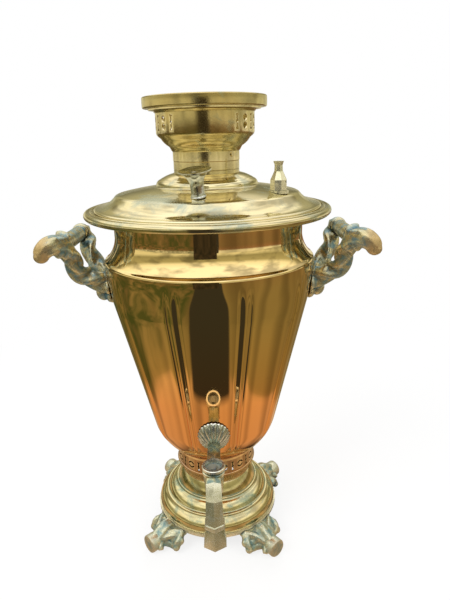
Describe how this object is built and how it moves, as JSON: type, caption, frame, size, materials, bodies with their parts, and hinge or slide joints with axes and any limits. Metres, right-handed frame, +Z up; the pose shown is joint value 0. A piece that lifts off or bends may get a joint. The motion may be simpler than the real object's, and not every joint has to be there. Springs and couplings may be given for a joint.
{
  "type": "samovar",
  "caption": "Charcoal samovar: fluted tapering brass urn on a footed pedestal, with a fire tube, lift-off lid, crown for a teapot, turning tap and two side handles",
  "frame": {"origin": "on the table, on the upright axis of the fire tube", "axes": "Z up along the fire tube, the tap towards -Y, the handles along X"},
  "size_m": [0.3436, 0.2901, 0.5],
  "materials": {
    "brass_tank": "mirror-polished sheet brass",
    "brass_lid": "polished sheet brass with a pale film",
    "brass_crown": "satin spun brass, olive tone",
    "brass_neck": "spun brass, reddish, heat-toned",
    "brass_base": "polished rolls with green tarnish in the grooves",
    "cast_patina": "cast brass with cream and blue-green patina",
    "handle_patina": "cast brass with blue-green patina, worn golden at the ends",
    "tap_patina": "cast brass, tarnished, edges pale",
    "vent_patina": "turquoise patina",
    "nickel_patina": "grey tarnished nickel",
    "fire_copper": "tinned copper-toned tube, sooty",
    "iron_grate": "burnt cast iron",
    "steel_fixings": "plain steel",
    "leather_seal": "greased leather"
  },
  "bodies": {
    "samovar": {"foot_front_left": "cast_patina", "foot_front_right": "cast_patina", "foot_back_left": "cast_patina", "foot_back_right": "cast_patina", "foot_screws": "steel_fixings", "base_frame": "cast_patina", "base_pedestal": "brass_base", "neck_gallery": "brass_neck", "tank_wall": "brass_tank", "tank_mouth": "brass_tank", "tank_floor": "brass_tank", "fire_tube": "fire_copper", "flue_tube": "fire_copper", "fire_grate": "iron_grate", "top_ring": "brass_lid", "ring_sleeve": "brass_lid", "tap_shell": "tap_patina", "tap_body": "tap_patina", "tap_gasket": "leather_seal", "tap_shank_nut": "steel_fixings", "handle_left": "handle_patina", "handle_right": "handle_patina", "grip_left": "handle_patina", "grip_right": "handle_patina", "grip_rods": "steel_fixings", "handle_nuts": "steel_fixings"},
    "lid": {"lid_shell": "brass_lid", "lid_collar": "brass_crown", "lid_knob_front": "nickel_patina", "lid_knob_back": "nickel_patina", "lid_knob_nuts": "steel_fixings", "vent_seat": "vent_patina"},
    "crown": {"crown": "brass_crown", "crown_rim": "brass_crown", "crown_rivet": "brass_crown"},
    "vent_cap": {"vent_cap": "vent_patina"},
    "plug": {"tap_plug": "nickel_patina", "tap_plug_washer": "brass_base", "tap_plug_nut": "steel_fixings"}
  },
  "joints": [
    {"name": "lid_lift", "type": "slide", "parent": "samovar", "child": "lid", "axis": [0, 0, 1], "range_m": [0, 0.09]},
    {"name": "crown_lift", "type": "slide", "parent": "lid", "child": "crown", "axis": [0, 0, 1], "range_m": [0, 0.05]},
    {"name": "vent_cap_lift", "type": "slide", "parent": "lid", "child": "vent_cap", "axis": [0, 0, 1], "range_m": [0, 0.02]},
    {"name": "plug_turn", "type": "hinge", "parent": "samovar", "child": "plug", "pos_m": [0, -0.124, 0.1496], "axis": [0, 0, 1], "range_deg": [0, 90]}
  ]
}
